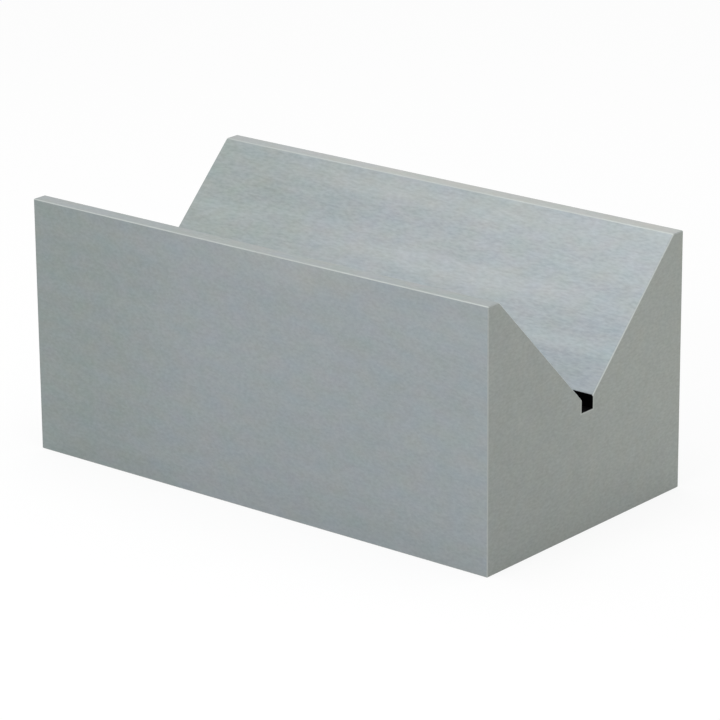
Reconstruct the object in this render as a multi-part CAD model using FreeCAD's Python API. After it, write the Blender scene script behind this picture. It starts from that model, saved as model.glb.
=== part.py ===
import FreeCAD, Part
import math
import os

# V block: one solid bar of ground steel with a right-angled groove along its top.
# The groove ends in a square relief slot, so that nothing touches at its root.
# Frame: X runs along the groove, Y across it and Z up.
# The origin is the centre of the base.

# Driving dimensions, in millimetres and degrees
block_length = 130.0  # along the groove
block_width = 70.0  # across the groove
block_height = 60.0  # from the base to the lands
land_width = 3.75  # flat strip on top, on each side of the groove
groove_angle = 90.0  # between the two flanks
slot_width = 4.0  # relief slot at the root of the groove
slot_depth = 3.0  # relief slot, below the feet of the flanks
edge_break = 0.2  # leg of the chamfer on each edge outside the slot

same_place = 1e-6  # two coordinates closer than this are one

# Half the cross-section, from its middle plane outward
half_width = block_width / 2
half_opening = half_width - land_width
half_slot = slot_width / 2
flank_slope = math.tan(math.radians(90 - groove_angle / 2))
flank_foot = block_height - (half_opening - half_slot) * flank_slope
slot_floor = flank_foot - slot_depth


def section():
    """Corners of the cross-section as (y, z), once round from the base."""
    right_half = [
        (half_width, 0),
        (half_width, block_height),
        (half_opening, block_height),
        (half_slot, flank_foot),
        (half_slot, slot_floor),
    ]
    left_half = [(-y, z) for y, z in reversed(right_half)]
    return right_half + left_half


def bar(corners, length):
    """A straight bar along X with this cross-section, centred on the origin."""
    outline = [FreeCAD.Vector(-length / 2, y, z) for y, z in corners]
    wire = Part.makePolygon(outline + outline[:1])
    return Part.Face(wire).extrude(FreeCAD.Vector(length, 0, 0))


def is_slot_edge(edge):
    """The edges of the relief slot, which the cutter leaves sharp."""
    box = edge.BoundBox
    return max(abs(box.YMin), abs(box.YMax)) < half_slot + same_place


def v_block():
    """The grooved bar with a fine chamfer on every edge but those of the slot."""
    grooved = bar(section(), block_length)
    broken_edges = [edge for edge in grooved.Edges if not is_slot_edge(edge)]
    return grooved.makeChamfer(edge_break, broken_edges)


os.makedirs("parts", exist_ok=True)
v_block().exportStep("parts/v_block.step")
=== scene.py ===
import math

import bpy
from mathutils import Matrix, Vector


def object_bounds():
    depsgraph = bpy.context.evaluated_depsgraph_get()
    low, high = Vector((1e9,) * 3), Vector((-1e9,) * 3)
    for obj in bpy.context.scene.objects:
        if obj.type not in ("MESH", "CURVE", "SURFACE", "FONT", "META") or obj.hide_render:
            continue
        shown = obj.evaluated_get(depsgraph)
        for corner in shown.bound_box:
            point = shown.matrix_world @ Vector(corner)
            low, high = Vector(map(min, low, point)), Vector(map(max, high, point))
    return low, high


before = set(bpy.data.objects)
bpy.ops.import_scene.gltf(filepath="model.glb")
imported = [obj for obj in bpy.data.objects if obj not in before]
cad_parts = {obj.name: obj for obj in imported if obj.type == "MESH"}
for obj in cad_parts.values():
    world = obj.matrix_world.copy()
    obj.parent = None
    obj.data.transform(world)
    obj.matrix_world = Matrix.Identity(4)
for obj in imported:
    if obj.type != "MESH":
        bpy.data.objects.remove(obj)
cad_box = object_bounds()

MM = 0.001
WHITE = (1, 1, 1, 1)

# The camera: a long lens, placed from the middle of the block's base
VIEW_AZIMUTH = math.radians(39.6)
VIEW_ELEVATION = math.radians(18.57)
VIEW_ROLL = math.radians(-0.435)
VIEW_DISTANCE = 867 * MM
AIM_RIGHT = 1.1 * MM
AIM_UP = 24.4 * MM
LENS_MM = 190.3
SENSOR_MM = 36

# The studio: even white light all round, and two large soft lamps
FLOOR_HALF_SIZE = 3.0
FLOOR_COLOUR = (0.9, 0.9, 0.9, 1)
FLOOR_GLOW = 0.85  # how much of the floor's look is plain white, which thins the shadow
MIRRORED_GLOW = 0.45  # the same where metal mirrors the floor
SKY_STRENGTH = 0.8
LAMPS = {
    "lamp_above": {"place": (0.0, 0.0, 0.6), "size": 0.4, "watts": 0.9},
    "lamp_front": {"place": (0.0, -0.6, 0.25), "size": 0.4, "watts": 1.7},
}

# How the kinds of face are told apart: by the parts of their normal, each from not at all to fully
SQUARE_TO_AXIS = (0.94, 0.96)
SLANTED = (0.46, 0.48)  # across times up, which is 0.5 on a flank
EDGE_ZONE = 1.0 * MM  # how far in from a side its edge breaks can lie
EDGE_ZONE_FADE = 0.5 * MM
SAME_PLACE = 0.05 * MM  # corners of the block nearer to each other than this are in line

# Ground steel by the kind of face: linear colour, size of one grain (x, y, z) in millimetres and
# the depth of its tone. The colours are partly the steel's own and partly painted light and shade:
# the faces that look up, the lands and then the flanks, are painted lighter than the sides and ends.
FINISH_AND_PAINTED_LIGHT = {
    "side": {"colour": (0.289, 0.319, 0.329), "grain": (0.9, 0.52, 0.52), "depth": 0.056},
    "end": {"colour": (0.287, 0.308, 0.292), "grain": (0.5, 1.1, 0.5), "depth": 0.066},
    "flank": {"colour": (0.372, 0.406, 0.418), "grain": (1.5, 0.52, 0.52), "depth": 0.078},
    "land": {"colour": (0.452, 0.468, 0.453), "grain": (1.4, 0.55, 0.55), "depth": 0.056},
}
STEEL_ROUGHNESS = 0.45
BUMP_STRENGTH = 0.15
BUMP_HEIGHT = 0.03 * MM

# Marks wider than the grain: size of one (x, y, z) in millimetres, its seed, how many finer ones
# it carries and how much those count
MARKS = {
    "streak": {"size": (9, 0.7, 0.7), "seed": 2, "detail": 2.0, "roughness": 0.6},
    "band": {"size": (80, 6, 6), "seed": 3, "detail": 2.0, "roughness": 0.5},
    "mottle": {"size": (9, 5, 5), "seed": 4, "detail": 2.0, "roughness": 0.5},
    "ragged": {"size": (22, 6, 6), "seed": 5, "detail": 3.0, "roughness": 0.5},
    "red": {"size": (6, 3.5, 3.5), "seed": 6, "detail": 1.0, "roughness": 0.5},
    "blue": {"size": (7, 4, 4), "seed": 7, "detail": 1.0, "roughness": 0.5},
}
GRAIN_SEED = 1
GRAIN_DETAIL = 1.0
SEED_STEP = (17.3, 31.7, 7.9)  # how far apart in the noise two seeds lie
NOISE_SPREAD = 4.0  # brings nearly all of the noise to between -1 and 1

# How much each mark changes: tone, and for a streak also the roughness and the height
FLANK_STREAK_DEPTH = 0.036
BAND_DEPTH = 0.02
MOTTLE_DEPTH = 0.012
TINT_DEPTH = 0.03  # faint changes of hue over a few millimetres
END_TINT_DEPTH = 0.015
STREAK_ROUGHNESS = 0.04
STREAK_HEIGHT = 0.5  # against the height of a grain

EDGE_COLOUR = (0.36, 0.385, 0.375)
EDGE_PAINTED_HIGHLIGHT = 0.33  # a painted highlight: how much lighter the edge breaks along the top and the groove are
EDGE_FACING = 0.2  # across times up, from which an edge break has all of that painted highlight
EDGE_STREAK_DEPTH = 0.06

# The slot is painted near black: painted shade in the narrow recess
SLOT_PAINTED_SHADE = (0.010, 0.010, 0.011)
SLOT_REACH = 0.05 * MM  # how far beyond the outline of the slot its painted shade reaches
SLOT_FADE = 0.05 * MM
RIM_PAINTED_HIGHLIGHT = 0.28  # a painted highlight: how much lighter an end face is along the outline of the slot
RIM_REACH = 0.25 * MM
RIM_FADE = 0.3 * MM

# Soft clouds on the ground faces, in millimetres. Most are painted light and shade: darker
# towards -X on a side, on the flank and on the far land, lighter towards +Y on an end face, and
# darker over the whole near land; the rest are lighter and darker bands and patches.
# Each is on one kind of face, with a middle, half sizes and how much it lifts red, green and blue.
LIGHT_AND_TONE_CLOUDS = [
    {"on": "side", "at": (-62, -35, 30), "size": (45, 9, 90), "tone": (-0.08, -0.06, -0.10)},
    {"on": "side", "at": (12, -35, 60), "size": (24, 9, 8), "tone": (0.07, 0.05, 0.02)},
    {"on": "flank", "at": (-62, 22, 50), "size": (42, 60, 60), "tone": (-0.07, -0.05, -0.09)},
    {"on": "flank", "at": (5, 28.5, 57.3), "size": (55, 3.5, 3.5), "tone": (0.05, 0.04, 0.02)},
    {"on": "flank", "at": (-25, 24, 52.8), "size": (45, 5, 5), "tone": (-0.04, -0.035, -0.03)},
    {"on": "flank", "at": (18, 17, 45.8), "size": (48, 4, 4), "tone": (0.10, 0.08, 0.07)},
    {"on": "flank", "at": (52, 9.3, 38.1), "size": (18, 2.4, 2.4), "tone": (0.09, 0.09, 0.08)},
    {"on": "flank", "at": (-52, 18, 46.8), "size": (15, 3.5, 3.5), "tone": (0.05, 0.05, 0.04)},
    {"on": "flank", "at": (66, 8, 37), "size": (34, 20, 20), "tone": (-0.085, -0.065, -0.045)},
    {"on": "end", "at": (65, 40, 48), "size": (9, 75, 60), "tone": (0.14, 0.13, 0.11)},
    {"on": "end", "at": (65, -36, 58), "size": (9, 24, 34), "tone": (0.065, 0.06, 0.055)},
    {"on": "land", "at": (0, -33, 60), "size": (190, 9, 9), "tone": (-0.24, -0.20, -0.18)},
    {"on": "land", "at": (-65, 33, 60), "size": (45, 9, 9), "tone": (-0.12, -0.09, -0.07)},
]
CLOUD_EDGE = 1.15  # a cloud is gone at this many times its half sizes
CLOUD_HEART = 0.25  # and is full within this many
RAGGED_DEPTH = 0.12  # how uneven its outline is


def block_sizes(block):
    """The sizes that the slot's painted shade and the painted highlight round it depend on, read from
    the corners of the block.
    """
    corners = [vertex.co for vertex in block.data.vertices]
    half_slot = min(abs(corner.y) for corner in corners)
    slot = [corner.z for corner in corners if abs(corner.y) < half_slot + SAME_PLACE]
    return {"half_slot": half_slot, "slot_floor": min(slot), "slot_mouth": max(slot)}


class Graph:
    """The nodes of a material or world. A value passed in is a number, a colour or another's output."""

    def __init__(self, tree):
        self.tree = tree
        self.tree.nodes.clear()

    def feed(self, socket, value):
        if isinstance(value, bpy.types.NodeSocket):
            self.tree.links.new(value, socket)
        else:
            socket.default_value = value

    def add(self, kind, inputs=None, **settings):
        made = self.tree.nodes.new("ShaderNode" + kind)
        for name, value in settings.items():
            setattr(made, name, value)
        for key, value in (inputs or {}).items():
            self.feed(made.inputs[key], value)
        return made

    def math(self, operation, *values, clamp=False):
        made = self.add("Math", dict(enumerate(values)), operation=operation, use_clamp=clamp)
        return made.outputs[0]

    def product(self, first, *others):
        for other in others:
            first = self.math("MULTIPLY", first, other)
        return first

    def vector(self, operation, *values):
        made = self.add("VectorMath", dict(enumerate(values)), operation=operation)
        return made.outputs["Value" if operation == "LENGTH" else "Vector"]

    def scaled(self, vector, factor):
        made = self.add("VectorMath", {"Vector": vector, "Scale": factor}, operation="SCALE")
        return made.outputs["Vector"]

    def parts(self, vector):
        """The X, Y and Z of a vector, by name."""
        return self.add("SeparateXYZ", {0: vector}).outputs

    def between(self, value, low, high, rise="LINEAR"):
        """0 below low and 1 above high, with a rise between them; low may be the larger."""
        limits = {"Value": value, "From Min": low, "From Max": high}
        return self.add("MapRange", limits, interpolation_type=rise).outputs["Result"]

    def mix(self, share, first, second):
        made = self.add("Mix", data_type="RGBA")
        sockets = {socket.identifier: socket for socket in made.inputs}
        self.feed(sockets["Factor_Float"], share)
        self.feed(sockets["A_Color"], first)
        self.feed(sockets["B_Color"], second)
        return next(socket for socket in made.outputs if socket.identifier == "Result_Color")

    def noise(self, place, size, seed, detail, roughness=0.5):
        """Smooth noise from about -1 to 1, with marks of about the size (x, y, z) given."""
        offset = tuple(step * seed for step in SEED_STEP)
        squeezed = self.vector("ADD", self.vector("DIVIDE", place, size), offset)
        inputs = {"Vector": squeezed, "Scale": 1.0, "Detail": detail, "Roughness": roughness}
        made = self.add("TexNoise", inputs)
        return self.math("MULTIPLY_ADD", made.outputs[0], NOISE_SPREAD, -NOISE_SPREAD / 2)


def new_material(name):
    """An empty material and its graph."""
    material = bpy.data.materials.new(name)
    material.use_nodes = True
    return material, Graph(material.node_tree)


def millimetres(*lengths):
    return tuple(length * MM for length in lengths)


def face_masks(g, facing, off_middle):
    """1 on each kind of face and 0 elsewhere, by the way it faces."""
    axes = {"end": "X", "side": "Y", "land": "Z"}
    on = {face: g.between(facing[axis], *SQUARE_TO_AXIS) for face, axis in axes.items()}
    # The edge breaks between side and land slant as a flank does, so their place tells them apart
    zone = cad_box[1].y - EDGE_ZONE
    inboard = g.between(off_middle, zone, zone - EDGE_ZONE_FADE)
    slant = g.product(facing["Y"], facing["Z"])
    on["flank"] = g.product(g.between(slant, *SLANTED), inboard)
    return on


def round_slot(g, off_middle, height, sizes, reach, fade):
    """1 in the slot and up to reach beyond its outline, and from there a fade to 0."""
    side = sizes["half_slot"] + reach
    top = sizes["slot_mouth"] + reach
    bottom = sizes["slot_floor"] - reach
    beside = g.between(off_middle, side + fade, side)
    under = g.between(height, top + fade, top)
    over = g.between(height, bottom - fade, bottom)
    return g.product(beside, under, over)


def finish_and_painted_light_by_face(g, on):
    """Colour, partly painted light and shade by the way the face looks, size of a grain and depth of
    its tone, by the kind of face.
    """
    base = FINISH_AND_PAINTED_LIGHT["side"]
    colour = base["colour"] + (1,)
    grain_size = millimetres(*base["grain"]) + (1,)
    depth = base["depth"]
    for face in ("end", "flank", "land"):
        finish_and_light = FINISH_AND_PAINTED_LIGHT[face]
        colour = g.mix(on[face], colour, finish_and_light["colour"] + (1,))
        grain_size = g.mix(on[face], grain_size, millimetres(*finish_and_light["grain"]) + (1,))
        depth = g.math("MULTIPLY_ADD", on[face], finish_and_light["depth"] - base["depth"], depth)
    return colour, grain_size, depth


def with_light_and_tone_clouds(g, shift, place, ragged, on):
    """A change of tone with the clouds added, most of them painted light and shade, each a fading
    ellipsoid with an uneven outline.
    """
    for cloud in LIGHT_AND_TONE_CLOUDS:
        away = g.vector("SUBTRACT", place, millimetres(*cloud["at"]))
        away = g.vector("LENGTH", g.vector("DIVIDE", away, millimetres(*cloud["size"])))
        away = g.math("MULTIPLY_ADD", ragged, RAGGED_DEPTH, away)
        share = g.between(away, CLOUD_EDGE, CLOUD_HEART, rise="SMOOTHSTEP")
        share = g.product(share, on[cloud["on"]])
        shift = g.vector("ADD", shift, g.scaled(cloud["tone"], share))
    return shift


def ground_steel(sizes):
    """Fine ground steel: lay along the length, soft clouds that are mostly painted light and shade,
    edge breaks with a painted highlight where they face up, and a relief slot painted black as painted
    shade.
    """
    material, g = new_material("ground_steel")
    coordinates = g.add("TexCoord").outputs
    place = coordinates["Object"]
    normal = coordinates["Normal"]
    facing = g.parts(g.vector("ABSOLUTE", normal))
    where = g.parts(place)
    off_middle = g.math("ABSOLUTE", where["Y"])

    on = face_masks(g, facing, off_middle)
    square_faces = g.math("ADD", on["end"], on["side"])
    groove_faces = g.math("ADD", on["land"], on["flank"])
    on_edge = g.math("SUBTRACT", 1.0, g.math("ADD", square_faces, groove_faces), clamp=True)
    in_slot = round_slot(g, off_middle, where["Z"], sizes, SLOT_REACH, SLOT_FADE)
    in_slot = g.product(in_slot, g.math("SUBTRACT", 1.0, on_edge))
    slot_rim = round_slot(g, off_middle, where["Z"], sizes, RIM_REACH, RIM_FADE)
    slot_rim = g.product(slot_rim, on["end"])

    # Tone, from the grain to the widest marks
    colour, grain_size, depth = finish_and_painted_light_by_face(g, on)
    grain = g.noise(place, grain_size, GRAIN_SEED, GRAIN_DETAIL)
    marks = {}
    for name, mark in MARKS.items():
        size = millimetres(*mark["size"])
        marks[name] = g.noise(place, size, mark["seed"], mark["detail"], mark["roughness"])
    off_ends = g.math("SUBTRACT", 1.0, on["end"])
    tone = g.product(grain, depth)
    tone = g.math("MULTIPLY_ADD", g.product(marks["streak"], on["flank"]), FLANK_STREAK_DEPTH, tone)
    tone = g.math("MULTIPLY_ADD", g.product(marks["band"], off_ends), BAND_DEPTH, tone)
    tone = g.math("MULTIPLY_ADD", marks["mottle"], MOTTLE_DEPTH, tone)
    # Painted highlight along the outline of the slot on the end faces
    tone = g.math("MULTIPLY_ADD", slot_rim, RIM_PAINTED_HIGHLIGHT, tone)

    # Hue, and the clouds, most of them painted light and shade
    tint = g.math("MULTIPLY_ADD", on["end"], END_TINT_DEPTH - TINT_DEPTH, TINT_DEPTH)
    red = g.math("MULTIPLY_ADD", marks["red"], tint, tone)
    blue = g.math("MULTIPLY_ADD", marks["blue"], tint, tone)
    shift = g.add("CombineXYZ", {"X": red, "Y": tone, "Z": blue}).outputs[0]
    shift = with_light_and_tone_clouds(g, shift, place, marks["ragged"], on)
    colour = g.vector("MULTIPLY", colour, g.vector("ADD", shift, (1, 1, 1)))

    # The edge breaks, with a painted highlight where they face up, then the slot
    across_and_up = g.product(facing["Y"], g.parts(normal)["Z"])
    highlight_and_streak = g.math("MULTIPLY_ADD", g.between(across_and_up, 0.0, EDGE_FACING), EDGE_PAINTED_HIGHLIGHT, 1.0)
    highlight_and_streak = g.math("MULTIPLY_ADD", marks["streak"], EDGE_STREAK_DEPTH, highlight_and_streak)
    colour = g.mix(on_edge, colour, g.scaled(EDGE_COLOUR, highlight_and_streak))
    # Painted shade: the inside of the slot is painted near black
    colour = g.mix(in_slot, colour, SLOT_PAINTED_SHADE + (1,))

    roughness = g.math("MULTIPLY_ADD", marks["streak"], STREAK_ROUGHNESS, STEEL_ROUGHNESS)
    height = g.math("MULTIPLY_ADD", marks["streak"], STREAK_HEIGHT, grain)
    bump = g.add("Bump", {"Strength": BUMP_STRENGTH, "Distance": BUMP_HEIGHT, "Height": height})
    shader = g.add(
        "BsdfPrincipled",
        {"Base Color": colour, "Metallic": 1.0, "Roughness": roughness, "Normal": bump.outputs[0]},
    )
    g.add("OutputMaterial", {"Surface": shader.outputs[0]})
    return material


def seen_ray(g, direct=1.0, mirrored=1.0):
    """What a ray counts for that shows what it meets: straight or through glass, or off metal."""
    path = g.add("LightPath").outputs
    straight = g.math("MAXIMUM", path["Is Camera Ray"], path["Is Transmission Ray"])
    return g.math("MAXIMUM", g.product(straight, direct), g.product(path["Is Glossy Ray"], mirrored))


def white_floor():
    """Matt white that shows nearly white with a light shadow, and is clear from below."""
    material, g = new_material("floor")
    matt = g.add("BsdfDiffuse", {"Color": FLOOR_COLOUR})
    glow = g.add("Emission", {"Color": WHITE, "Strength": 1.0})
    share = seen_ray(g, FLOOR_GLOW, MIRRORED_GLOW)
    lit = g.add("MixShader", {0: share, 1: matt.outputs[0], 2: glow.outputs[0]})
    clear = g.add("BsdfTransparent")
    under = g.add("NewGeometry").outputs["Backfacing"]
    surface = g.add("MixShader", {0: under, 1: lit.outputs[0], 2: clear.outputs[0]})
    g.add("OutputMaterial", {"Surface": surface.outputs[0]})
    return material


def floor():
    """A plain pale floor under the block."""
    half = FLOOR_HALF_SIZE
    level = cad_box[0].z
    mesh = bpy.data.meshes.new("floor")
    corners = [(-half, -half, level), (half, -half, level), (half, half, level), (-half, half, level)]
    mesh.from_pydata(corners, [], [(0, 1, 2, 3)])
    mesh.materials.append(white_floor())
    plane = bpy.data.objects.new("floor", mesh)
    bpy.context.scene.collection.objects.link(plane)


def sky():
    """Even light from all round, which shows as plain white."""
    world = bpy.data.worlds.new("studio")
    world.use_nodes = True
    g = Graph(world.node_tree)
    strength = g.math("MULTIPLY_ADD", seen_ray(g), 1.0 - SKY_STRENGTH, SKY_STRENGTH)
    background = g.add("Background", {"Color": WHITE, "Strength": strength})
    g.add("OutputWorld", {"Surface": background.outputs[0]})
    bpy.context.scene.world = world


def lamps():
    """Soft square lamps that face the middle of the block's base."""
    for name, lamp in LAMPS.items():
        data = bpy.data.lights.new(name, "AREA")
        data.size = lamp["size"]
        data.energy = lamp["watts"]
        light = bpy.data.objects.new(name, data)
        light.location = lamp["place"]
        light.rotation_euler = (-light.location).to_track_quat("-Z", "Y").to_euler()
        bpy.context.scene.collection.objects.link(light)


def camera():
    """A long lens above the near corner of the block."""
    level_right = Vector((math.cos(VIEW_AZIMUTH), math.sin(VIEW_AZIMUTH), 0))
    level_back = Vector((math.sin(VIEW_AZIMUTH), -math.cos(VIEW_AZIMUTH), 0))
    straight_up = Vector((0, 0, 1))
    back = level_back * math.cos(VIEW_ELEVATION) + straight_up * math.sin(VIEW_ELEVATION)
    level_up = back.cross(level_right)
    right = level_right * math.cos(VIEW_ROLL) + level_up * math.sin(VIEW_ROLL)
    up = level_up * math.cos(VIEW_ROLL) - level_right * math.sin(VIEW_ROLL)
    low, high = cad_box
    base = Vector(((low.x + high.x) / 2, (low.y + high.y) / 2, low.z))
    eye = base + right * AIM_RIGHT + up * AIM_UP + back * VIEW_DISTANCE
    data = bpy.data.cameras.new("camera")
    data.lens = LENS_MM
    data.sensor_width = SENSOR_MM
    shot = bpy.data.objects.new("camera", data)
    shot.matrix_world = Matrix.Translation(eye) @ Matrix((right, up, back)).transposed().to_4x4()
    bpy.context.scene.collection.objects.link(shot)
    bpy.context.scene.camera = shot


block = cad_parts["v_block"]
block.data.materials.clear()
block.data.materials.append(ground_steel(block_sizes(block)))
floor()
sky()
lamps()
camera()
bpy.context.scene.view_settings.view_transform = "Standard"
